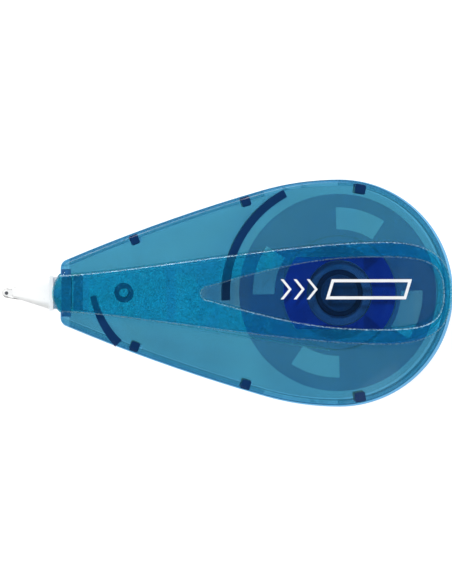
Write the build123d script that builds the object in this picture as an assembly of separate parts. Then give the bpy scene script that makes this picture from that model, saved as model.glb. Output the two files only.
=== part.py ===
"""Correction tape dispenser with two coaxial spools, lying flat on its rear face.

Millimetres. X runs from the applicator tip (-X) to the round end (+X), Y across the body,
Z through its thickness.
"""
from build123d import *
import math
import os

# ---- overall ----
LENGTH = 90.0
WIDTH = 45.3
END_R = WIDTH / 2
HUB_X = LENGTH / 2 - END_R
TIP_X = -LENGTH / 2
NOSE_REACH = 11.75
NOSE_X = TIP_X + NOSE_REACH

# ---- plates, walls and gaps ----
BAND_T = 0.8
FACE_T = 1.2
WALL = 1.2
EDGE_R = 0.7
SEAM_LINE = 0.2
BAND_EDGE_R = 0.3
TOUCH = 0.02
FIT = 0.05
RUNNING = 0.08
FLOOR_GAP = 0.3
TAPE_GAP = 0.1
PLATE_GAP = 0.3

# ---- ribbon ----
TAPE_W = 4.2
RIBBON_T = 0.08

# ---- spool stack, from the rear face up ----
FLANGE_T = 0.8
DISC_T = 0.8
PLATE_T = 0.9
REAR_FACE_Z = BAND_T
FLOOR_Z = REAR_FACE_Z + FACE_T
FLANGE_Z = FLOOR_Z + FLOOR_GAP
SUPPLY_Z = FLANGE_Z + FLANGE_T + TAPE_GAP
DISC_Z = SUPPLY_Z + TAPE_W + 2 * TAPE_GAP
TAKEUP_Z = DISC_Z + DISC_T + TAPE_GAP
DRUM_TOP = TAKEUP_Z + TAPE_W + TAPE_GAP
PLATE_Z = DRUM_TOP + PLATE_GAP
CEILING_Z = PLATE_Z + PLATE_T
FRONT_FACE_Z = CEILING_Z + FACE_T
THICKNESS = FRONT_FACE_Z + BAND_T
SEAM_Z = THICKNESS / 2

# ---- body outline ----
SHOULDER_R = 54.0
FLANK_R = 349.0
NOSE_HALF = 6.05
NOSE_CORNER_R = 1.75

# ---- grip bands and windows ----
BAND_TIP_OUT = 1.7
BAND_TIP_X = NOSE_X - BAND_TIP_OUT
BAND_TIP_SAG = 1.5
BAND_TIP_HALF = 3.7
BAND_HALF = 10.3
BAND_END_GAP = 0.3
BAND_ROUND = 13.5
BAND_END_X = LENGTH / 2 - BAND_END_GAP
WINDOW_RIM = 1.8
WINDOW_BEHIND_HUB = 27.6
WINDOW_TIP_X = HUB_X - WINDOW_BEHIND_HUB
WINDOW_TIP_SAG = 1.1
WINDOW_TIP_HALF = 1.2
WINDOW_HALF = BAND_HALF - 3.2
WINDOW_ROUND = 12.0
WINDOW_END_X = BAND_END_X - WINDOW_RIM
LENS_T = 0.5

# ---- spools ----
POST_R = 2.42
POST_SHOULDER = 1.4
SLEEVE_R = 4.7
SLEEVE_WALL = 1.0
SLEEVE_CHAMFER = 0.25
CAP_R = SLEEVE_R - SLEEVE_WALL
CAP_T = 1.0
SLEEVE_TOP = CEILING_Z - 0.6
SUPPLY_R = 9.4
SUPPLY_RIM = 0.1
CORE_WALL = 0.8
CORE_R = SLEEVE_R + CORE_WALL
DISC_GAP = 1.65
DISC_R = END_R - WALL - DISC_GAP
DRUM_R = 11.3
DRUM_WALL = 1.7
WRAPS_T = 0.25
WRAP_R = DRUM_R + WRAPS_T
OPENING_IN_R = DRUM_R + 1.4
DISC_RIM = 2.7
OPENING_OUT_R = DISC_R - DISC_RIM
OPENING_DEG = 34.6
OPENING_START_DEG = 56.8
CLUTCH_W = 1.5
CLUTCH_R = SLEEVE_R + CLUTCH_W
CLUTCH_T = 3.0
COLLAR_W = 1.7
COLLAR_R = SLEEVE_R + COLLAR_W
COLLAR_T = 0.9
PLATE_R = 11.2
PLATE_IN_R = COLLAR_R + 0.2
PLATE_HALF = 7.2

# ---- inner ribs, pillar and snap blocks ----
RIB_W = 1.5
RIB_GAP = 2.1
RIB_R = DISC_R + RIB_GAP + RIB_W / 2
RIB_START_DEG = 119.5
RIB_DEG = 64.1
NOSE_RIB_R = 19.4
NOSE_RIB_W = 1.15
NOSE_RIB_GAP = 0.8
NOSE_RIB_X = NOSE_X + 25.45
NOSE_RIB_Y = 3.46
NOSE_RIB_START_DEG = 192.0
NOSE_RIB_DEG = 32.0
PILLAR_X = NOSE_X + 12.65
PILLAR_R = 1.85
PILLAR_PIN_R = 0.9
SNAP = 1.7
SNAP_DEPTH = 2.0
SNAP_TONGUE = 1.5
NOSE_WALL_T = 1.75
STOP_WALL_T = 1.8
STOP_HALF = 3.4

# ---- applicator ----
ROLLER_R = 0.85
ROLLER_X = TIP_X + ROLLER_R + TOUCH + RIBBON_T
PIN_R = 0.35
COLLAR_X = BAND_TIP_X + 0.25
CHEEK_T = 0.8
CHEEK_GAP = 0.1
SLOT_HALF = TAPE_W / 2 + CHEEK_GAP
CHEEK_HALF = SLOT_HALF + CHEEK_T
CONE_TOP_X = TIP_X + 2.1
CONE_TOP_HALF = 0.85
CONE_BASE_X = BAND_TIP_X - 0.35
CONE_BASE_HALF = 3.3
CONE_BASE_LIP = 1.3
CHEEK_END_R = 0.6
BASE_T = 0.2
BASE_HALF = 3.5
SHANK_HALF = 3.2
SHANK_END_X = NOSE_X + NOSE_WALL_T + 0.6
LUG_T = 0.5
LUG_OUT = 0.6
LUG_HALF = 2.4
WEB_TIP_HALF = 0.5
WEB_HALF = 1.9


def both_sides(half):
    return half + [edge.mirror(Plane.XZ) for edge in half]


def leaf(tip_x, tip_half, sag, slope_deg, reach, wide_x, half, ease, end_x, fullness):
    """Closed outline, symmetric about X: a bowed tip, a widening flank and a full round end."""
    start = Vector(tip_x + sag, tip_half)
    a = math.radians(slope_deg)
    wide = Vector(wide_x, half)
    flank = Bezier(start, start + Vector(math.cos(a), math.sin(a)) * reach, wide - Vector(ease, 0), wide)
    push = fullness * (end_x - wide_x)
    end = Bezier(wide, wide + Vector(push, 0), Vector(end_x, fullness * half), Vector(end_x, 0))
    tip = ThreePointArc(start, (tip_x, 0), Vector(start.X, -start.Y))
    return make_face([tip] + both_sides([flank, end]))


def band_outline():
    span = BAND_END_X - BAND_TIP_X
    return leaf(BAND_TIP_X, BAND_TIP_HALF, BAND_TIP_SAG, 1.5, 0.17 * span,
                BAND_END_X - BAND_ROUND, BAND_HALF, 0.24 * span, BAND_END_X, 0.70)


def window_outline(gap=0.0):
    span = WINDOW_END_X - WINDOW_TIP_X
    return leaf(WINDOW_TIP_X + gap, WINDOW_TIP_HALF - gap, WINDOW_TIP_SAG, 15.5, 0.34 * span,
                WINDOW_END_X - WINDOW_ROUND, WINDOW_HALF - gap, 0.27 * span, WINDOW_END_X - gap, 0.80)


def body_outline():
    """Teardrop from three arcs a side, each running smoothly into the next, with a cut-off nose."""
    shoulder = Vector(HUB_X, END_R - SHOULDER_R)
    corner = Vector(NOSE_X, NOSE_HALF)
    between = corner - shoulder
    reach = between.length
    along = ((FLANK_R - SHOULDER_R) ** 2 - FLANK_R**2 + reach**2) / (2 * reach)
    aside = math.sqrt((FLANK_R - SHOULDER_R) ** 2 - along**2)
    unit = between / reach
    flank = shoulder + unit * along + Vector(unit.Y, -unit.X) * aside
    if flank.Y > shoulder.Y:
        flank = shoulder + unit * along - Vector(unit.Y, -unit.X) * aside
    meet = flank + (shoulder - flank).normalized() * FLANK_R

    def on(centre, radius, p, q):
        middle = ((p - centre).normalized() + (q - centre).normalized()).normalized()
        return ThreePointArc(p, centre + middle * radius, q)

    top = Vector(HUB_X, END_R)
    half = [
        Line((NOSE_X, 0), corner),
        on(flank, FLANK_R, corner, meet),
        on(shoulder, SHOULDER_R, meet, top),
        on(Vector(HUB_X, 0), END_R, top, Vector(HUB_X + END_R, 0)),
    ]
    face = make_face(both_sides(half))
    corners = [v for v in face.vertices() if abs(v.X - NOSE_X) < 0.01 and abs(v.Y) > 1]
    return fillet(corners, NOSE_CORNER_R)


def slab(face, z0, z1):
    return extrude(Pos(0, 0, z0) * face, z1 - z0)


def disc(radius, z0, z1, x=HUB_X, y=0.0):
    return Pos(x, y, z0) * Cylinder(radius, z1 - z0, align=(Align.CENTER, Align.CENTER, Align.MIN))


def ring(outer, inner, z0, z1, x=HUB_X, y=0.0):
    return disc(outer, z0, z1, x, y) - disc(inner, z0, z1, x, y)


def block(x0, x1, y0, y1, z0, z1):
    return Pos(x0, y0, z0) * Box(x1 - x0, y1 - y0, z1 - z0, align=(Align.MIN, Align.MIN, Align.MIN))


def sector(radius, start_deg, sweep_deg, z0, z1, x=HUB_X, y=0.0):
    """Pie slice that clips a ring to an arc; sweep under 180 degrees."""
    def at(deg):
        return (radius * math.cos(math.radians(deg)), radius * math.sin(math.radians(deg)))
    steps = 4
    rim = [at(start_deg + sweep_deg * i / steps) for i in range(steps + 1)]
    return Pos(x, y, z0) * extrude(make_face(Polyline([(0, 0)] + rim, close=True)), z1 - z0)


BODY = body_outline()
CAVITY = offset(BODY, -WALL)
BAND = band_outline()
WINDOW = window_outline()


def half_at(x):
    """Half width of the body outline at x."""
    line = Edge.make_line((x, 0.5 * NOSE_HALF), (x, WIDTH))
    cut = [v.Y for v in (BODY & line).vertices()]
    return max(cut)


def collar(z0, z1):
    """Bulging lip ahead of the nose wall."""
    return slab(BAND, z0, z1) & block(COLLAR_X, NOSE_X + 1, -WIDTH, WIDTH, z0, z1)


def mouth():
    return block(TIP_X, NOSE_X + NOSE_WALL_T + FIT, -SHANK_HALF - FIT, SHANK_HALF + FIT,
                 SEAM_Z - CHEEK_HALF - FIT, SEAM_Z + CHEEK_HALF + FIT)


def nose_walls(z0, z1):
    return block(NOSE_X, NOSE_X + NOSE_WALL_T, -NOSE_HALF, NOSE_HALF, z0, z1)


def stop_wall(z0, z1):
    """Second wall that the applicator's shank butts against."""
    return block(SHANK_END_X + FIT, SHANK_END_X + STOP_WALL_T, -STOP_HALF, STOP_HALF, z0, z1)


def snap_blocks(z0, z1):
    found = []
    for x in (PILLAR_X + 2.6, HUB_X - 18.5, HUB_X + 4.2):
        y = half_at(x)
        tilt = math.degrees(math.atan2(half_at(x + 0.5) - y, 0.5))
        for side in (1, -1):
            place = Pos(x, side * (y - WALL), (z0 + z1) / 2) * Rot(0, 0, side * tilt)
            found.append(place * Box(SNAP, SNAP_DEPTH, z1 - z0))
    return found


def rounded(shell, face_z):
    edges = shell.edges().filter_by_position(Axis.Z, face_z - 0.001, face_z + 0.001)
    return fillet(edges, EDGE_R)


def seam_groove(z0, z1):
    """Shadow line that runs round the body where the two shells meet."""
    strip = slab(BODY - offset(BODY, -SEAM_LINE), z0, z1)
    return strip & block(NOSE_X + NOSE_CORNER_R, LENGTH, -WIDTH, WIDTH, z0, z1)


def nose_rib():
    """Curved wall over the ribbon, between the pillar and the flank."""
    z0 = SEAM_Z + SLOT_HALF + NOSE_RIB_GAP
    outer = NOSE_RIB_R + NOSE_RIB_W / 2
    wall = ring(outer, outer - NOSE_RIB_W, z0, CEILING_Z, NOSE_RIB_X, NOSE_RIB_Y)
    wall &= sector(2 * NOSE_RIB_R, NOSE_RIB_START_DEG, NOSE_RIB_DEG, z0, CEILING_Z, NOSE_RIB_X, NOSE_RIB_Y)
    return wall & slab(BODY, z0, CEILING_Z)


def front_shell():
    shell = rounded(slab(BODY, SEAM_Z, FRONT_FACE_Z), FRONT_FACE_Z)
    shell -= slab(CAVITY, SEAM_Z, CEILING_Z)
    arc = ring(RIB_R + RIB_W / 2, RIB_R - RIB_W / 2, TAKEUP_Z + TAPE_GAP, CEILING_Z)
    arc &= sector(2 * END_R, RIB_START_DEG, RIB_DEG, DISC_Z, CEILING_Z)
    inside = [arc, disc(PILLAR_R, SEAM_Z + 0.2, CEILING_Z, PILLAR_X)]
    inside += [nose_walls(SEAM_Z, CEILING_Z), stop_wall(SEAM_Z + SLOT_HALF + 0.1, CEILING_Z)]
    inside += snap_blocks(SEAM_Z - SNAP_TONGUE, CEILING_Z)
    hold = slab(offset(BODY, -WALL - FIT), SEAM_Z - SNAP_TONGUE, CEILING_Z)
    for piece in inside[:1] + inside[4:]:
        shell += piece & hold
    for piece in inside[1:4]:
        shell += piece & slab(BODY, SEAM_Z, CEILING_Z)
    shell += slab(BODY - CAVITY, SEAM_Z, CEILING_Z)
    for piece in snap_blocks(SEAM_Z, CEILING_Z):
        shell += piece & slab(offset(BODY, -0.3), SEAM_Z, CEILING_Z)
    shell += nose_rib()
    shell += collar(SEAM_Z, FRONT_FACE_Z)
    shell -= disc(PILLAR_PIN_R + FIT, SEAM_Z, CEILING_Z - FACE_T, PILLAR_X)
    shell -= seam_groove(SEAM_Z, SEAM_Z + SEAM_LINE)
    return shell - mouth()


def rear_shell():
    shell = rounded(slab(BODY, REAR_FACE_Z, SEAM_Z), REAR_FACE_Z)
    shell -= slab(CAVITY, FLOOR_Z, SEAM_Z)
    for piece in (nose_walls(FLOOR_Z, SEAM_Z), stop_wall(FLOOR_Z, SEAM_Z - SLOT_HALF - 0.1)):
        shell += piece & slab(BODY, FLOOR_Z, SEAM_Z)
    shell += disc(POST_R + POST_SHOULDER, FLOOR_Z, FLANGE_Z - FIT)
    shell += disc(POST_R, FLOOR_Z, SLEEVE_TOP - CAP_T - 0.15)
    shell += disc(PILLAR_R, FLOOR_Z, SEAM_Z - 3.0, PILLAR_X)
    shell += disc(PILLAR_PIN_R, FLOOR_Z, CEILING_Z - FACE_T - 0.5, PILLAR_X)
    shell += collar(REAR_FACE_Z, SEAM_Z)
    shell -= seam_groove(SEAM_Z - SEAM_LINE, SEAM_Z)
    return shell - mouth()


def grip_band(z0, z1, outward):
    band = slab(BAND - WINDOW, z0, z1)
    rim = z1 if outward > 0 else z0
    edges = band.edges().filter_by_position(Axis.Z, rim - 0.001, rim + 0.001)
    return fillet(edges, BAND_EDGE_R)


def window(z0, z1):
    return slab(window_outline(FIT), z0, z1)


def applicator():
    def section(x, half_y, half_z, corner):
        return Plane(origin=(x, 0, SEAM_Z), x_dir=(0, 1, 0), z_dir=(1, 0, 0)) * RectangleRounded(
            2 * half_y, 2 * half_z, corner)

    base_z = CHEEK_HALF + CONE_BASE_LIP
    body = loft([section(CONE_BASE_X, CONE_BASE_HALF, base_z, 1.5),
                 section(CONE_TOP_X, CONE_TOP_HALF, CHEEK_HALF, 0.5)])
    cheek_face = make_hull([
        *(Pos(CONE_TOP_X - 0.4, 0) * Circle(CONE_TOP_HALF * 0.9)).edges(),
        *(Pos(ROLLER_X, 0) * Circle(CHEEK_END_R)).edges(),
    ])
    for z0 in (SEAM_Z - CHEEK_HALF, SEAM_Z + SLOT_HALF):
        body += slab(cheek_face, z0, z0 + CHEEK_T)
    body += block(CONE_BASE_X - BASE_T, COLLAR_X, -BASE_HALF, BASE_HALF, SEAM_Z - base_z, SEAM_Z + base_z)
    body += block(CONE_BASE_X, SHANK_END_X, -SHANK_HALF, SHANK_HALF,
                  SEAM_Z - CHEEK_HALF, SEAM_Z + CHEEK_HALF)
    body += block(SHANK_END_X - LUG_T, SHANK_END_X, -LUG_HALF, LUG_HALF,
                  SEAM_Z - CHEEK_HALF - LUG_OUT, SEAM_Z + CHEEK_HALF + LUG_OUT)
    for side in (1, -1):
        inner = make_face(Polyline((CONE_TOP_X - 4, side * WEB_TIP_HALF), (CONE_TOP_X, side * WEB_TIP_HALF),
                                   (SHANK_END_X + 1, side * WEB_HALF), (SHANK_END_X + 1, side * 6),
                                   (CONE_TOP_X - 4, side * 6), close=True))
        body -= slab(inner, SEAM_Z - SLOT_HALF, SEAM_Z + SLOT_HALF)
    body -= disc(ROLLER_R + 0.3, SEAM_Z - SLOT_HALF, SEAM_Z + SLOT_HALF, ROLLER_X)
    body -= disc(PIN_R, SEAM_Z - CHEEK_HALF - 1, SEAM_Z + CHEEK_HALF + 1, ROLLER_X)
    return body


def tip_roller():
    reach = TAPE_W / 2
    return ring(ROLLER_R, PIN_R + FIT, SEAM_Z - reach, SEAM_Z + reach, ROLLER_X)


def roller_pin():
    return disc(PIN_R, SEAM_Z - CHEEK_HALF - 0.1, SEAM_Z + CHEEK_HALF + 0.1, ROLLER_X)


def supply_spool():
    sleeve = disc(SLEEVE_R, FLANGE_Z, SLEEVE_TOP)
    rim = sleeve.edges().filter_by_position(Axis.Z, SLEEVE_TOP - 0.001, SLEEVE_TOP + 0.001)
    spool = disc(SUPPLY_R + SUPPLY_RIM, FLANGE_Z, FLANGE_Z + FLANGE_T) + chamfer(rim, SLEEVE_CHAMFER)
    spool -= disc(POST_R + RUNNING, FLANGE_Z, SLEEVE_TOP)
    return spool - disc(CAP_R, SLEEVE_TOP - CAP_T, SLEEVE_TOP)


def takeup_spool():
    spool = disc(DISC_R, DISC_Z, DISC_Z + DISC_T)
    for k in range(4):
        start = OPENING_START_DEG + 90 * k
        gap = ring(OPENING_OUT_R, OPENING_IN_R, DISC_Z, DISC_Z + DISC_T)
        spool -= gap & sector(2 * DISC_R, start, OPENING_DEG, DISC_Z, DISC_Z + DISC_T)
    spool += ring(DRUM_R, DRUM_R - DRUM_WALL, DISC_Z, DRUM_TOP)
    return spool - disc(SLEEVE_R + RUNNING, DISC_Z, DRUM_TOP)


def bearing_plate():
    plate = ring(PLATE_R, PLATE_IN_R, PLATE_Z, CEILING_Z)
    return plate & block(HUB_X - PLATE_R, HUB_X + PLATE_R, -PLATE_HALF, PLATE_HALF, PLATE_Z, CEILING_Z)


def ribbon_run(side, coil_r, coil_z):
    """Flat run from the roller to a coil, stepping from the nose plane to the coil's plane on the way."""
    near = ROLLER_R + TOUCH
    far = coil_r + TOUCH
    span = HUB_X - ROLLER_X
    rise = math.asin((far - near) / span)
    length = math.sqrt(span**2 - (far - near) ** 2)
    direction = Vector(math.cos(rise), side * math.sin(rise), 0)
    outward = Vector(-math.sin(rise), side * math.cos(rise), 0)
    start = Vector(ROLLER_X, 0, 0) + outward * near
    plane = Plane(origin=start, x_dir=direction, z_dir=outward)
    low = TAPE_W / 2
    stops = [(0, SEAM_Z), (0.27 * length, SEAM_Z), (0.62 * length, coil_z), (length, coil_z)]
    upright = 1 if plane.y_dir.Z > 0 else -1
    lower = [(s, upright * (z - low)) for s, z in stops]
    upper = [(s, upright * (z + low)) for s, z in reversed(stops)]
    return extrude(plane * make_face(Polyline(lower + upper, close=True)), RIBBON_T)


def ribbon_rise(coil_r):
    return math.degrees(math.asin((coil_r - ROLLER_R) / (HUB_X - ROLLER_X)))


def tip_ribbon():
    inner = ROLLER_R + TOUCH
    z0 = SEAM_Z - TAPE_W / 2
    z1 = SEAM_Z + TAPE_W / 2
    top = 90 + ribbon_rise(SUPPLY_R)
    bottom = 270 - ribbon_rise(WRAP_R)
    loop = ring(inner + RIBBON_T, inner, z0, z1, ROLLER_X)
    return loop & sector(3 * inner, top, bottom - top, z0, z1, ROLLER_X)


NODES = {
    "front_shell": front_shell(),
    "rear_shell": rear_shell(),
    "front_grip_band": grip_band(FRONT_FACE_Z, THICKNESS, 1),
    "rear_grip_band": grip_band(0, REAR_FACE_Z, -1),
    "front_window": window(FRONT_FACE_Z, FRONT_FACE_Z + LENS_T),
    "rear_window": window(REAR_FACE_Z - LENS_T, REAR_FACE_Z),
    "applicator": applicator(),
    "tip_roller": tip_roller(),
    "roller_pin": roller_pin(),
    "supply_spool": supply_spool(),
    "hub_cap": disc(CAP_R - TOUCH, SLEEVE_TOP - CAP_T, SLEEVE_TOP),
    "supply_core": ring(CORE_R, SLEEVE_R + TOUCH, FLANGE_Z + FLANGE_T, SUPPLY_Z + TAPE_W),
    "supply_tape": ring(SUPPLY_R, CORE_R + TOUCH, SUPPLY_Z, SUPPLY_Z + TAPE_W),
    "clutch_ring": ring(CLUTCH_R, SLEEVE_R + TOUCH, TAKEUP_Z, TAKEUP_Z + CLUTCH_T),
    "clutch_collar": ring(COLLAR_R, SLEEVE_R + TOUCH, TAKEUP_Z + CLUTCH_T, TAKEUP_Z + CLUTCH_T + COLLAR_T),
    "takeup_spool": takeup_spool(),
    "takeup_ribbon": ring(WRAP_R, DRUM_R + TOUCH, TAKEUP_Z, TAKEUP_Z + TAPE_W),
    "bearing_plate": bearing_plate(),
    "outgoing_ribbon": ribbon_run(1, SUPPLY_R, SUPPLY_Z + TAPE_W / 2),
    "return_ribbon": ribbon_run(-1, WRAP_R, TAKEUP_Z + TAPE_W / 2),
    "tip_ribbon": tip_ribbon(),
}

os.makedirs("parts", exist_ok=True)
for name, shape in NODES.items():
    shape.label = name
    export_step(shape, f"parts/{name}.step")
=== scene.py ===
import functools
import math

import bmesh
import bpy
import numpy as np
from mathutils import Matrix, Vector


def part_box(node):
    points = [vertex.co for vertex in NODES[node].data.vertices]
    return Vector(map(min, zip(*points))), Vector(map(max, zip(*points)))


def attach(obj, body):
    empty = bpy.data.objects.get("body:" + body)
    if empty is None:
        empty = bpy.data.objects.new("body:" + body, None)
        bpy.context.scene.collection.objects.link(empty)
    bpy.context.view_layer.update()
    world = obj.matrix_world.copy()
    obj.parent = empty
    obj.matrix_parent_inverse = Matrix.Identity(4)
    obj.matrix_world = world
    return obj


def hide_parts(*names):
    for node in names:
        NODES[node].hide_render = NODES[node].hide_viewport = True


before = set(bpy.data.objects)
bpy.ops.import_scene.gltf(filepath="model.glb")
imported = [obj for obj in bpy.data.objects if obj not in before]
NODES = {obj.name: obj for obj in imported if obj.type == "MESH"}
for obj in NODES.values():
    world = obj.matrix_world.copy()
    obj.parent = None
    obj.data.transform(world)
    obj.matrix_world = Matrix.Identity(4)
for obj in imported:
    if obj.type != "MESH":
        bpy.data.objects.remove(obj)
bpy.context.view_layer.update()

CASING = "casing"

# ---------------------------------------------------------------- places, most of them from the frame
hub_low, hub_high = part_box("takeup_spool")
HUB_X = (hub_low.x + hub_high.x) / 2
shell_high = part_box("front_shell")[1]
FACE_Z = shell_high.z
END_R = shell_high.y
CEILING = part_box("bearing_plate")[1].z
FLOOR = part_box("rear_shell")[0].z + (FACE_Z - CEILING)
SEAM = CEILING - 0.006
NOSE_X = -0.03325
LENS_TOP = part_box("front_window")[1].z


def depth(x, y):
    """How far a point lies inside the body's outline."""
    if x > HUB_X:
        return END_R - math.hypot(x - HUB_X, y)
    return half_width("rear_shell", round(x, 4)) - abs(y)


@functools.lru_cache(maxsize=None)
def half_width(node, x):
    """Half the width of a node's outline at x."""
    mesh = NODES[node].data
    points = np.empty(3 * len(mesh.vertices))
    mesh.vertices.foreach_get("co", points)
    ends = np.empty(2 * len(mesh.edges), dtype=np.int64)
    mesh.edges.foreach_get("vertices", ends)
    start, end = points.reshape(-1, 3)[ends[0::2]], points.reshape(-1, 3)[ends[1::2]]
    run = end[:, 0] - start[:, 0]
    crossing = ((start[:, 0] - x) * (end[:, 0] - x) <= 0) & (np.abs(run) > 1e-9)
    start, end, run = start[crossing], end[crossing], run[crossing]
    across = start[:, 1] + (x - start[:, 0]) / run * (end[:, 1] - start[:, 1])
    return float(np.max(np.abs(across), initial=0.0))


# ---------------------------------------------------------------- material helpers
class Nodes:
    """A material's node tree with short calls to add to it."""

    def __init__(self, name):
        self.mat = bpy.data.materials.new(name)
        self.mat.use_nodes = True
        self.tree = self.mat.node_tree
        self.tree.nodes.clear()
        self.out = self.tree.nodes.new("ShaderNodeOutputMaterial")

    def add(self, kind, **values):
        """New node. A key that starts with _ sets a property, any other key an input."""
        node = self.tree.nodes.new("ShaderNode" + kind)
        for key, value in values.items():
            if key[0] == "_":
                setattr(node, key[1:], value)
            else:
                node.inputs[key.replace("_", " ")].default_value = value
        return node

    def link(self, source, target):
        self.tree.links.new(source, target)

    def where(self):
        return self.add("TexCoord").outputs["Object"]

    def noise(self, scale, detail=4.0, rough=0.55):
        texture = self.add("TexNoise", Scale=scale, Detail=detail, Roughness=rough)
        self.link(self.where(), texture.inputs["Vector"])
        return texture.outputs["Fac"]

    def ranged(self, value, low, high, from_low=0.3, from_high=0.7):
        span = self.add("MapRange", From_Min=from_low, From_Max=from_high, To_Min=low, To_Max=high)
        self.link(value, span.inputs["Value"])
        return span.outputs["Result"]

    def blend(self, value, dark, light, from_low=0.3, from_high=0.7):
        ramp = self.add("ValToRGB")
        ramp.color_ramp.elements[0].position = from_low
        ramp.color_ramp.elements[1].position = from_high
        ramp.color_ramp.elements[0].color = (*dark, 1)
        ramp.color_ramp.elements[1].color = (*light, 1)
        self.link(value, ramp.inputs["Fac"])
        return ramp.outputs["Color"]

    def mottled(self, value, colour, vary, from_low=0.3, from_high=0.7):
        """A colour that wanders by a share to both sides."""
        return self.blend(value, scaled(colour, 1 - vary), scaled(colour, 1 + vary), from_low, from_high)

    def bump(self, height, strength, distance):
        relief = self.add("Bump", Strength=strength, Distance=distance)
        self.link(height, relief.inputs["Height"])
        return relief.outputs["Normal"]

    def mixed(self, share, first, second):
        """Mix of two shaders. The share of the second is a number or an output."""
        mix = self.add("MixShader")
        if isinstance(share, float):
            mix.inputs["Fac"].default_value = share
        else:
            self.link(share, mix.inputs["Fac"])
        self.link(first, mix.inputs[1])
        self.link(second, mix.inputs[2])
        return mix.outputs[0]

    def grazing(self, normal, straight, edge_on):
        """Share of light that a smooth skin throws back, the same from both of its sides."""
        facing = self.add("LayerWeight", Blend=0.5)
        self.link(normal, facing.inputs["Normal"])
        steep = self.add("Math", _operation="POWER")
        self.link(facing.outputs["Facing"], steep.inputs[0])
        steep.inputs[1].default_value = 5.0
        return self.ranged(steep.outputs[0], straight, edge_on, 0.0, 1.0)

    def inside_outline(self, node, steps=24):
        """1 where a point lies within a node's outline seen along Z, else 0."""
        low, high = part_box(node)
        inset = 0.00002
        split = self.add("SeparateXYZ")
        self.link(self.where(), split.inputs[0])
        along = self.ranged(split.outputs["X"], 0.0, 1.0, low.x, high.x)
        curve = self.add("FloatCurve")
        points = curve.mapping.curves[0].points
        for k in range(steps + 1):
            place = 1 - (1 - k / steps) ** 2
            x = min(low.x + place * (high.x - low.x), high.x - inset)
            height = half_width(node, max(x, low.x + inset)) / high.y
            if k < 2:
                points[k].location = (place, height)
            else:
                points.new(place, height)
        for point in points:
            point.handle_type = "VECTOR"
        curve.mapping.update()
        self.link(along, curve.inputs["Value"])
        aside = self.add("Math", _operation="ABSOLUTE")
        self.link(split.outputs["Y"], aside.inputs[0])
        inner = self.add("Math", _operation="LESS_THAN")
        self.link(self.ranged(aside.outputs[0], 0.0, 1.0, 0.0, high.y), inner.inputs[0])
        self.link(curve.outputs[0], inner.inputs[1])
        return inner.outputs[0]

    def done(self, shader):
        self.link(shader, self.out.inputs["Surface"])
        return self.mat


def scaled(colour, by):
    return tuple(min(1.0, c * by) for c in colour)


# ---------------------------------------------------------------- kinds of material
def solid(name, colour, rough=0.35, vary=0.12, grain=900.0, bump=0.00002, wear=180.0, metal=0.0, gloss=0.5):
    """Opaque moulding: mottled colour, uneven gloss and a fine skin."""
    nodes = Nodes(name)
    surface = nodes.add("BsdfPrincipled", Metallic=metal, Specular_IOR_Level=gloss)
    nodes.link(nodes.mottled(nodes.noise(wear), colour, vary), surface.inputs["Base Color"])
    nodes.link(nodes.ranged(nodes.noise(wear * 2.3), rough * 0.8, rough * 1.25), surface.inputs["Roughness"])
    nodes.link(nodes.bump(nodes.noise(grain, 3.0), 0.5, bump), surface.inputs["Normal"])
    return nodes.done(surface.outputs[0])


def clear(name, tint, body=None, share=0.0, rough=0.06, sheen=(0.03, 0.7), shiny=True, clearing=None):
    """Clear coloured moulding: each skin tints what is seen through it.

    A body colour makes it milky by a share, except within the outline of the node named as clearing.
    """
    nodes = Nodes(name)
    see = nodes.add("BsdfTransparent")
    cloud = nodes.noise(90.0, 3.0)
    nodes.link(nodes.mottled(cloud, tint, 0.015), see.inputs["Color"])
    look = see.outputs[0]
    if body:
        milk = nodes.add("BsdfPrincipled", Roughness=0.5, Specular_IOR_Level=0.0)
        nodes.link(nodes.mottled(cloud, body, 0.03), milk.inputs["Base Color"])
        if clearing:
            share = nodes.ranged(nodes.inside_outline(clearing), share, 0.0, 0.0, 1.0)
        look = nodes.mixed(share, look, milk.outputs[0])
    if shiny:
        skin = nodes.bump(nodes.noise(500.0, 3.0), 0.4, 0.000012)
        gloss = nodes.add("BsdfGlossy")
        nodes.link(nodes.ranged(nodes.noise(270.0), rough * 0.7, rough * 1.5), gloss.inputs["Roughness"])
        nodes.link(skin, gloss.inputs["Normal"])
        look = nodes.mixed(nodes.grazing(skin, *sheen), look, gloss.outputs[0])
    return nodes.done(look)


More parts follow.
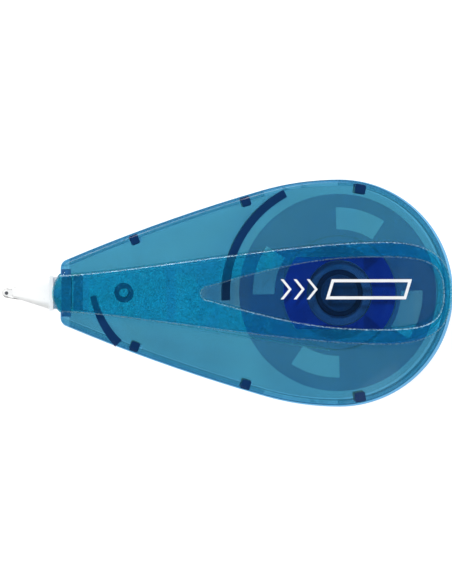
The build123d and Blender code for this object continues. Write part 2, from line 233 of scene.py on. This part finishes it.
def glitter(name, tint, body, share, fleck, cell=3900.0):
    """Frosted band with fine flecks set in it."""
    nodes = Nodes(name)
    see = nodes.add("BsdfTransparent")
    cells = nodes.add("TexVoronoi", Scale=cell)
    nodes.link(nodes.where(), cells.inputs["Vector"])
    shade = nodes.add("SeparateColor")
    nodes.link(cells.outputs["Color"], shade.inputs[0])
    tinted = nodes.blend(shade.outputs[0], scaled(tint, 0.84), scaled(tint, 1.10), 0.0, 0.9)
    nodes.link(tinted, see.inputs["Color"])
    frost = nodes.add("BsdfPrincipled", Specular_IOR_Level=0.1)
    nodes.link(nodes.mottled(shade.outputs[1], body, 0.4, 0.1, 0.95), frost.inputs["Base Color"])
    nodes.link(nodes.ranged(shade.outputs[1], 0.3, 0.55, 0.0, 1.0), frost.inputs["Roughness"])
    skin = nodes.bump(nodes.noise(2600.0, 2.0), 0.5, 0.00003)
    nodes.link(skin, frost.inputs["Normal"])
    spark = nodes.add("BsdfPrincipled", Metallic=1.0, Roughness=0.4, Base_Color=(*fleck, 1))
    nodes.link(skin, spark.inputs["Normal"])
    gloss = nodes.add("BsdfGlossy", Roughness=0.2)
    nodes.link(nodes.bump(nodes.noise(2600.0, 2.0), 0.1, 0.00002), gloss.inputs["Normal"])
    frosted = nodes.mixed(share, see.outputs[0], frost.outputs[0])
    flecked = nodes.mixed(nodes.ranged(shade.outputs[2], 0.0, 0.3, 0.90, 1.0), frosted, spark.outputs[0])
    return nodes.done(nodes.mixed(nodes.grazing(skin, 0.006, 0.3), flecked, gloss.outputs[0]))


def bright_edge(name, tint, sheen):
    """Rounded edge of the band, where the flecks lie dense and catch the light."""
    nodes = Nodes(name)
    see = nodes.add("BsdfTransparent")
    nodes.link(nodes.mottled(nodes.noise(500.0), tint, 0.05), see.inputs["Color"])
    spark = nodes.add("BsdfPrincipled", Metallic=0.9, Roughness=0.42)
    grain = nodes.noise(2400.0, 3.0)
    nodes.link(nodes.blend(grain, scaled(sheen, 0.7), sheen), spark.inputs["Base Color"])
    nodes.link(nodes.bump(grain, 0.3, 0.00001), spark.inputs["Normal"])
    dense = nodes.ranged(grain, 0.25, 0.55, 0.35, 0.65)
    return nodes.done(nodes.mixed(dense, see.outputs[0], spark.outputs[0]))


def spool(name, hub_colour, flange_tint, hub_r):
    """Opaque hub on a clear flange, one moulding in two shots."""
    nodes = Nodes(name)
    flat = nodes.add("Mapping", Location=(-HUB_X, 0, 0), Scale=(1, 1, 0))
    nodes.link(nodes.where(), flat.inputs["Vector"])
    reach = nodes.add("VectorMath", _operation="LENGTH")
    nodes.link(flat.outputs[0], reach.inputs[0])
    flange = nodes.add("Math", _operation="GREATER_THAN")
    flange.inputs[1].default_value = hub_r
    nodes.link(reach.outputs["Value"], flange.inputs[0])
    hub = nodes.add("BsdfPrincipled", Specular_IOR_Level=0.2)
    mottle = nodes.noise(180.0)
    nodes.link(nodes.mottled(mottle, hub_colour, 0.15), hub.inputs["Base Color"])
    nodes.link(nodes.ranged(nodes.noise(420.0), 0.28, 0.45), hub.inputs["Roughness"])
    nodes.link(nodes.bump(nodes.noise(900.0, 3.0), 0.5, 0.00002), hub.inputs["Normal"])
    see = nodes.add("BsdfTransparent")
    nodes.link(nodes.mottled(mottle, flange_tint, 0.03), see.inputs["Color"])
    return nodes.done(nodes.mixed(flange.outputs[0], hub.outputs[0], see.outputs[0]))


def wound(name, colour, groove_shade, pitch, share):
    """Wound film with fine rings round the spool axis, bumped and coloured darker in the grooves between
    windings as painted shade. Share is how much of it is opaque.
    """
    nodes = Nodes(name)
    centred = nodes.add("Mapping", Location=(-HUB_X, 0, 0))
    nodes.link(nodes.where(), centred.inputs["Vector"])
    wave = nodes.add("TexWave", _wave_type="RINGS", _rings_direction="Z", Scale=1.0 / pitch / 20,
                     Distortion=0.4, Detail=2.0)
    nodes.link(centred.outputs[0], wave.inputs["Vector"])
    film = nodes.add("BsdfPrincipled", Roughness=0.5)
    nodes.link(nodes.blend(wave.outputs["Fac"], groove_shade, colour, 0.1, 0.7), film.inputs["Base Color"])
    nodes.link(nodes.bump(wave.outputs["Fac"], 0.6, 0.00003), film.inputs["Normal"])
    see = nodes.add("BsdfTransparent", Color=(0.95, 0.96, 0.96, 1))
    return nodes.done(nodes.mixed(share, see.outputs[0], film.outputs[0]))


# ---------------------------------------------------------------- the materials
SHELL_TINT = (0.50, 0.742, 0.866)
SIDE_TINT = (0.42, 0.68, 0.86)
HAZE = (0.32, 0.64, 0.38)
BAND_TINT = (0.48, 0.985, 0.99)
HUB_R = 0.0052
MATERIALS = {
    "shell": clear("shell_clear", SHELL_TINT),
    "side": clear("shell_side", SIDE_TINT, rough=0.3, sheen=(0.02, 0.06)),
    "inside": clear("shell_inside", SHELL_TINT, HAZE, 0.23, shiny=False, clearing="front_grip_band"),
    "wall": clear("shell_wall", (0.70, 0.84, 0.91), shiny=False),
    # Meeting faces near the rim wear a darker tint: painted shade that keeps the rim as dark as the plates,
    # though the floor beside it lets more light through.
    "rim_shade": clear("shell_rim_shade", (0.28, 0.56, 0.63), shiny=False),
    "rib": solid("rib_navy", (0.013, 0.05, 0.14), 0.45, gloss=0.1),
    "bar": solid("bar_navy", (0.07, 0.19, 0.36), 0.45, vary=0.3, wear=1500.0, gloss=0.1),
    "band": glitter("band_glitter", BAND_TINT, (0.005, 0.24, 0.48), 0.11, (0.06, 0.44, 0.70)),
    "edge": bright_edge("band_edge", BAND_TINT, (0.36, 0.52, 0.62)),
    "lens": clear("lens_blue", (0.83, 0.86, 0.86), (0.04, 0.18, 0.30), 0.02, rough=0.03),
    "white": solid("white_plastic", (0.86, 0.87, 0.87), 0.32, vary=0.03),
    "roller": solid("roller_acetal", (0.80, 0.80, 0.79), 0.3, vary=0.04),
    "pin": solid("pin_steel", (0.16, 0.17, 0.19), 0.3, metal=1.0),
    "cap": solid("cap_navy", (0.09, 0.12, 0.27), 0.35, gloss=0.3),
    "spool": spool("spool_two_shot", (0.018, 0.036, 0.11), (0.90, 0.94, 0.96), HUB_R),
    "collar": solid("collar_blue", (0.26, 0.30, 0.56), 0.4, gloss=0.2),
    "ring": solid("ring_rubber", (0.02, 0.04, 0.10), 0.6),
    "disc": clear("disc_teal", (0.57, 0.635, 0.80), shiny=False),
    "plate": solid("plate_royal", (0.020, 0.080, 0.62), 0.4, gloss=0.2),
    # The darker second colours are painted shade in the grooves between windings.
    "tape": wound("tape_wound", (0.80, 0.81, 0.80), (0.55, 0.57, 0.58), 0.00025, 0.25),
    "used": wound("ribbon_wound", (0.45, 0.58, 0.60), (0.25, 0.38, 0.42), 0.0002, 0.15),
    "film": solid("tape_film", (0.82, 0.82, 0.81), 0.4, vary=0.03),
    "print": solid("print_white", (0.80, 0.82, 0.84), 0.45, vary=0.05),
}


# ---------------------------------------------------------------- mesh helpers
def finish_piece(bm, name, body, keys, smooth_deg=35.0):
    """Turns a mesh in the making into a piece that rides a body and wears the keyed materials."""
    mesh = bpy.data.meshes.new(name)
    bm.to_mesh(mesh)
    bm.free()
    piece = bpy.data.objects.new(name, mesh)
    bpy.context.scene.collection.objects.link(piece)
    for key in keys:
        mesh.materials.append(MATERIALS[key])
    mesh.shade_smooth()
    mesh.set_sharp_from_angle(angle=math.radians(smooth_deg))
    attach(piece, body)
    return piece


def from_node(node):
    bm = bmesh.new()
    bm.from_mesh(NODES[node].data)
    bmesh.ops.remove_doubles(bm, verts=bm.verts, dist=1e-7)
    bm.faces.ensure_lookup_table()
    return bm


def prism(bm, points, z0, z1):
    """Closed upright solid over a convex or concave outline given anticlockwise."""
    low = [bm.verts.new((x, y, z0)) for x, y in points]
    high = [bm.verts.new((x, y, z1)) for x, y in points]
    count = len(points)
    bm.faces.new(list(reversed(low)))
    bm.faces.new(high)
    for i in range(count):
        j = (i + 1) % count
        bm.faces.new((low[i], low[j], high[j], high[i]))


def box_points(x0, x1, half):
    return [(x0, -half), (x1, -half), (x1, half), (x0, half)]


def arc_points(x, y, radius, start_deg, sweep_deg, wide_start, wide_end, steps=28):
    """Outline of a bowed rib whose thickness runs evenly from one value to another."""
    outer, inner = [], []
    for k in range(steps + 1):
        t = k / steps
        angle = math.radians(start_deg + sweep_deg * t)
        half = (wide_start + (wide_end - wide_start) * t) / 2
        outer.append((x + (radius + half) * math.cos(angle), y + (radius + half) * math.sin(angle)))
        inner.append((x + (radius - half) * math.cos(angle), y + (radius - half) * math.sin(angle)))
    return outer + inner[::-1]


def circle(bm, x, radius, z, steps):
    """Ring of points about an upright axis at x."""
    turns = [2 * math.pi * k / steps for k in range(steps)]
    return [bm.verts.new((x + radius * math.cos(turn), radius * math.sin(turn), z)) for turn in turns]


def ribs(bm, name, key, edge=0.00012):
    """Finishes dark ribs of the shells with their edges broken."""
    edges = [e for e in bm.edges if e.calc_face_angle(0.0) > 0.6]
    bmesh.ops.bevel(bm, geom=edges, offset=edge, segments=2, affect="EDGES")
    return finish_piece(bm, name, CASING, [key])


# ---------------------------------------------------------------- ribs inside the shells
# Heights are above the floor. Roots are sunk into the plates, past the milky skin inside them.
ROOT = 0.0003
TOP = CEILING + ROOT
BOTTOM = FLOOR - ROOT
CATCH_FOOT = 0.0066
CATCH_DEEP = 0.0019
# x, y, turn in degrees and width of each catch on the +Y flank; the -Y flank mirrors them
CATCHES = (
    (-0.0185, 0.01065, 21, 0.00175),
    (0.0037, 0.01825, 17, 0.0018),
    (0.0265, 0.02075, -10, 0.0021),
)
GUIDE_R = 0.02265
GUIDE_W = 0.00156
GUIDE_START_DEG = 118.6
GUIDE_SWEEP_DEG = 65.0
GUIDE_FOOT = 0.0086
NOSE_RIB_X = -0.0078
NOSE_RIB_Y = 0.00346
NOSE_RIB_R = 0.0194
NOSE_RIB_START_DEG = 192.0
NOSE_RIB_SWEEP_DEG = 32.0
NOSE_RIB_THIN = 0.0012
NOSE_RIB_THICK = 0.0018
NOSE_RIB_FOOT = 0.0109
PILLAR_X = -0.0206
PILLAR_R = 0.00187
PILLAR_BORE_R = 0.00098
FRONT_PILLAR_FOOT = 0.0083
REAR_PILLAR_TOP = 0.0049
# x from, x to and half width of the two walls
NOSE_BARS = ((-0.0331, -0.0312, 0.00465), (-0.0307, -0.0288, 0.0034))
FRONT_BARS_FOOT = 0.0112
REAR_BARS_TOP = 0.0048


def guide_rib():
    """Curved wall beside the take-up disc."""
    bm = bmesh.new()
    outline = arc_points(HUB_X, 0, GUIDE_R, GUIDE_START_DEG, GUIDE_SWEEP_DEG, GUIDE_W, GUIDE_W)
    prism(bm, outline, GUIDE_FOOT, TOP)
    return ribs(bm, "guide_rib", "rib")


def nose_rib():
    """Tapered curved wall that keeps the ribbon off the flank."""
    bm = bmesh.new()
    outline = arc_points(NOSE_RIB_X, NOSE_RIB_Y, NOSE_RIB_R, NOSE_RIB_START_DEG, NOSE_RIB_SWEEP_DEG,
                         NOSE_RIB_THIN, NOSE_RIB_THICK)
    prism(bm, outline, NOSE_RIB_FOOT, TOP)
    return ribs(bm, "nose_rib", "rib")


def pillar_ring(z0, z1, name, steps=40):
    """Boss round the pin near the nose."""
    bm = bmesh.new()
    profile = ((PILLAR_R, z0), (PILLAR_R, z1), (PILLAR_BORE_R, z1), (PILLAR_BORE_R, z0))
    rings = [circle(bm, PILLAR_X, radius, z, steps) for radius, z in profile]
    for i, here in enumerate(rings):
        there = rings[(i + 1) % len(rings)]
        for k in range(steps):
            m = (k + 1) % steps
            bm.faces.new((here[k], here[m], there[m], there[k]))
    bmesh.ops.recalc_face_normals(bm, faces=bm.faces)
    return ribs(bm, name, "rib")


def nose_bars(z0, z1, name):
    """The two cross walls that hold the applicator's root."""
    bm = bmesh.new()
    for x0, x1, half in NOSE_BARS:
        prism(bm, box_points(x0, x1, half), z0, z1)
    return ribs(bm, name, "bar")


def snap_blocks():
    """The six catches that hold the shells together, moulded against the outer wall."""
    bm = bmesh.new()
    for x, y, tilt, wide in CATCHES:
        for way in (1, -1):
            made = bmesh.ops.create_cube(bm, size=1.0)
            turn = Matrix.Rotation(math.radians(way * tilt), 4, "Z")
            size = Matrix.Diagonal((wide, CATCH_DEEP, TOP - CATCH_FOOT, 1))
            place = Matrix.Translation((x, way * y, (TOP + CATCH_FOOT) / 2))
            bmesh.ops.transform(bm, matrix=place @ turn @ size, verts=made["verts"])
    return ribs(bm, "snap_blocks", "rib", 0.00015)


# ---------------------------------------------------------------- shells, bands and cap
SHELL_KEYS = ["shell", "inside", "side", "wall", "rim_shade"]
PLATE_OUTSIDE, PLATE_INSIDE, WALL_OUTSIDE, WALL_INSIDE, SHADED_MEETING_FACE = range(5)
NEAR = 0.0001
MEETING_REACH = 0.001
# How far in from the outline the meeting faces wear the darker tint of painted shade.
MEETING_SHADE_W = 0.0013
WALL_SKIN = 0.0004


def shell_finish(centre, normal):
    """Which of SHELL_KEYS a shell's face wears, from where it lies and which way it looks."""
    x, y, z = centre
    skin = z > CEILING + NEAR or z < FLOOR - NEAR
    if abs(normal.z) > 0.98:
        if skin:
            return PLATE_OUTSIDE
        # Meeting faces close to the outline take the painted shade.
        meeting = abs(z - SEAM) < MEETING_REACH and depth(x, y) < MEETING_SHADE_W
        return SHADED_MEETING_FACE if meeting else PLATE_INSIDE
    if skin or x < NOSE_X + 2 * NEAR:
        return WALL_OUTSIDE
    outward = normal.x * max(0.0, x - HUB_X) + normal.y * y > 0
    return WALL_OUTSIDE if outward and depth(x, y) < WALL_SKIN else WALL_INSIDE


def shell_piece(node):
    bm = from_node(node)
    for face in bm.faces:
        face.material_index = shell_finish(face.calc_center_median(), face.normal)
    piece = finish_piece(bm, node + "_visual", CASING, SHELL_KEYS)
    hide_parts(node)
    return piece


def band_piece(node):
    """Grip band whose rounded rims carry the dense flecks."""
    bm = from_node(node)
    for face in bm.faces:
        face.material_index = 1 if 0.05 < abs(face.normal.z) < 0.985 else 0
    piece = finish_piece(bm, node + "_visual", CASING, ["band", "edge"])
    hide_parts(node)
    return piece


def turned(name, profile, body, key, steps=72):
    """Round piece about the spool axis from (radius, z) points, the first and last on the axis."""
    bm = bmesh.new()
    rows = []
    for radius, z in profile:
        rows.append(circle(bm, HUB_X, radius, z, steps) if radius else [bm.verts.new((HUB_X, 0, z))])
    for low, high in zip(rows, rows[1:]):
        for k in range(steps):
            m = (k + 1) % steps
            if len(low) == 1:
                bm.faces.new((low[0], high[m], high[k]))
            elif len(high) == 1:
                bm.faces.new((low[k], low[m], high[0]))
            else:
                bm.faces.new((low[k], low[m], high[m], high[k]))
    bmesh.ops.recalc_face_normals(bm, faces=bm.faces)
    return finish_piece(bm, name, body, [key], 25.0)


def hub_cap():
    """Dished cap with a raised rim."""
    low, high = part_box("hub_cap")
    reach = (high.x - low.x) / 2
    dish = 0.00012
    chamfer = 0.00008
    crown = 0.00005
    profile = [
        (0, low.z),
        (reach, low.z),
        (reach, high.z - chamfer),
        (reach - chamfer, high.z),
        (reach - 0.0003, high.z),
        (reach - 0.00045, high.z - dish),
        (reach - 0.0012, high.z - dish),
        (reach - 0.0013, high.z - dish + crown),
        (0, high.z - dish + 2 * crown),
    ]
    piece = turned("hub_cap_visual", profile, "supply", "cap")
    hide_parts("hub_cap")
    return piece


# ---------------------------------------------------------------- printed emblem on the window
EMBLEM_Y = 0.0008
EMBLEM_HALF = 0.0020
EMBLEM_SUNK = 0.000002
EMBLEM_PROUD = 0.00002
PEN = 0.0006
CHEVRONS = 3
CHEVRON_X = 0.0105
CHEVRON_STEP = 0.0026
CHEVRON_POINT = 0.0016
BAR_X0 = 0.0195
BAR_X1 = 0.0355
BAR_LEAN = 0.0012


def emblem():
    """A generic mark: three chevrons and the outline of a leaning bar."""
    bm = bmesh.new()
    z0, z1 = LENS_TOP - EMBLEM_SUNK, LENS_TOP + EMBLEM_PROUD
    low, high = EMBLEM_Y - EMBLEM_HALF, EMBLEM_Y + EMBLEM_HALF
    for k in range(CHEVRONS):
        x = CHEVRON_X + CHEVRON_STEP * k
        prism(bm, [(x, low), (x + PEN, low), (x + PEN + CHEVRON_POINT, EMBLEM_Y), (x + PEN, high), (x, high),
                   (x + CHEVRON_POINT, EMBLEM_Y)], z0, z1)

    def lean(y):
        return BAR_LEAN * (y - low) / (high - low)

    for y0, y1 in ((low, low + PEN), (high - PEN, high)):
        prism(bm, [(BAR_X0 + lean(y0), y0), (BAR_X1 + lean(y0), y0), (BAR_X1 + lean(y1), y1),
                   (BAR_X0 + lean(y1), y1)], z0, z1)
    y0, y1 = low + PEN, high - PEN
    for x in (BAR_X0, BAR_X1 - PEN):
        prism(bm, [(x + lean(y0), y0), (x + PEN + lean(y0), y0), (x + PEN + lean(y1), y1),
                   (x + lean(y1), y1)], z0, z1)
    return finish_piece(bm, "window_emblem", CASING, ["print"])


# ---------------------------------------------------------------- the object
guide_rib()
nose_rib()
pillar_ring(FRONT_PILLAR_FOOT, TOP, "front_pillar")
pillar_ring(BOTTOM, REAR_PILLAR_TOP, "rear_pillar")
nose_bars(FRONT_BARS_FOOT, TOP, "front_nose_bars")
nose_bars(BOTTOM, REAR_BARS_TOP, "rear_nose_bars")
snap_blocks()
shell_piece("front_shell")
shell_piece("rear_shell")
band_piece("front_grip_band")
band_piece("rear_grip_band")
hub_cap()

# CAD nodes that keep their own mesh, with the material that each wears
KEPT = {
    "front_window": "lens",
    "rear_window": "lens",
    "applicator": "white",
    "tip_roller": "roller",
    "roller_pin": "pin",
    "supply_spool": "spool",
    "supply_core": "collar",
    "supply_tape": "tape",
    "clutch_ring": "ring",
    "clutch_collar": "collar",
    "takeup_spool": "disc",
    "takeup_ribbon": "used",
    "bearing_plate": "plate",
    "outgoing_ribbon": "film",
    "return_ribbon": "film",
    "tip_ribbon": "film",
}
for node, key in KEPT.items():
    mesh = NODES[node].data
    mesh.materials.clear()
    mesh.materials.append(MATERIALS[key])

emblem()

# ---------------------------------------------------------------- floor
FLOOR_HALF = 1.2
FLOOR_DROP = 0.00005
FLOOR_GLOW = 0.92

bm = bmesh.new()
bmesh.ops.create_grid(bm, x_segments=8, y_segments=8, size=FLOOR_HALF)
floor_mesh = bpy.data.meshes.new("floor")
bm.to_mesh(floor_mesh)
bm.free()
floor = bpy.data.objects.new("floor", floor_mesh)
bpy.context.scene.collection.objects.link(floor)
floor.location.z = -FLOOR_DROP
floor_white = solid("floor_white", (0.30, 0.30, 0.30), 0.9, vary=0.01, wear=6.0, bump=0.0, gloss=0.0)
glow = floor_white.node_tree.nodes["Principled BSDF"]
glow.inputs["Emission Color"].default_value = (1, 1, 1, 1)
glow.inputs["Emission Strength"].default_value = FLOOR_GLOW
floor_mesh.materials.append(floor_white)


# ---------------------------------------------------------------- lights
def area(name, place, size, power):
    """Round lamp that looks at the origin."""
    lamp = bpy.data.lights.new(name, "AREA")
    lamp.shape = "DISK"
    lamp.size = size
    lamp.energy = power
    light = bpy.data.objects.new(name, lamp)
    bpy.context.scene.collection.objects.link(light)
    light.location = place
    light.rotation_euler = (-Vector(place)).to_track_quat("-Z", "Y").to_euler()
    return light


area("key_top", (-0.12, 0.44, 0.76), 0.20, 5.6)
area("fill_low", (0.05, -0.42, 0.78), 0.60, 0.5)
area("fill_left", (-0.46, -0.05, 0.78), 0.40, 1.8)
area("fill_right", (0.46, 0.05, 0.78), 0.45, 1.2)

# The backdrop is bright near the horizon and dark overhead.
HORIZON = 0.12
OVERHEAD = 0.40
world = bpy.data.worlds.new("studio")
world.use_nodes = True
sky = world.node_tree
tall = sky.nodes.new("ShaderNodeSeparateXYZ")
sky.links.new(sky.nodes.new("ShaderNodeTexCoord").outputs["Generated"], tall.inputs[0])
fade = sky.nodes.new("ShaderNodeMapRange")
fade.inputs["From Min"].default_value = HORIZON
fade.inputs["From Max"].default_value = OVERHEAD
fade.inputs["To Min"].default_value = 1.0
fade.inputs["To Max"].default_value = 0.05
sky.links.new(tall.outputs["Z"], fade.inputs["Value"])
backdrop = sky.nodes["Background"]
backdrop.inputs["Color"].default_value = (1, 1, 1, 1)
sky.links.new(fade.outputs["Result"], backdrop.inputs["Strength"])
bpy.context.scene.world = world

# ---------------------------------------------------------------- camera
DISTANCE = 0.9
FIELD = 0.0906
SENSOR = 36.0
aim = Vector((-0.0001, 0.00013, SEAM))
eye = aim + Vector((-0.035, 0.02, 1)) * DISTANCE
sight = aim - eye
camera = bpy.data.objects.new("camera", bpy.data.cameras.new("camera"))
bpy.context.scene.collection.objects.link(camera)
camera.data.sensor_fit = "HORIZONTAL"
camera.data.sensor_width = SENSOR
camera.data.lens = SENSOR * DISTANCE / FIELD
camera.data.clip_start = 0.01
camera.location = eye
camera.rotation_euler = (math.atan2(sight.y, -sight.z), -math.atan2(sight.x, -sight.z), 0)
bpy.context.scene.camera = camera
bpy.context.scene.cycles.transparent_max_bounces = 32
bpy.context.scene.view_settings.view_transform = "Standard"
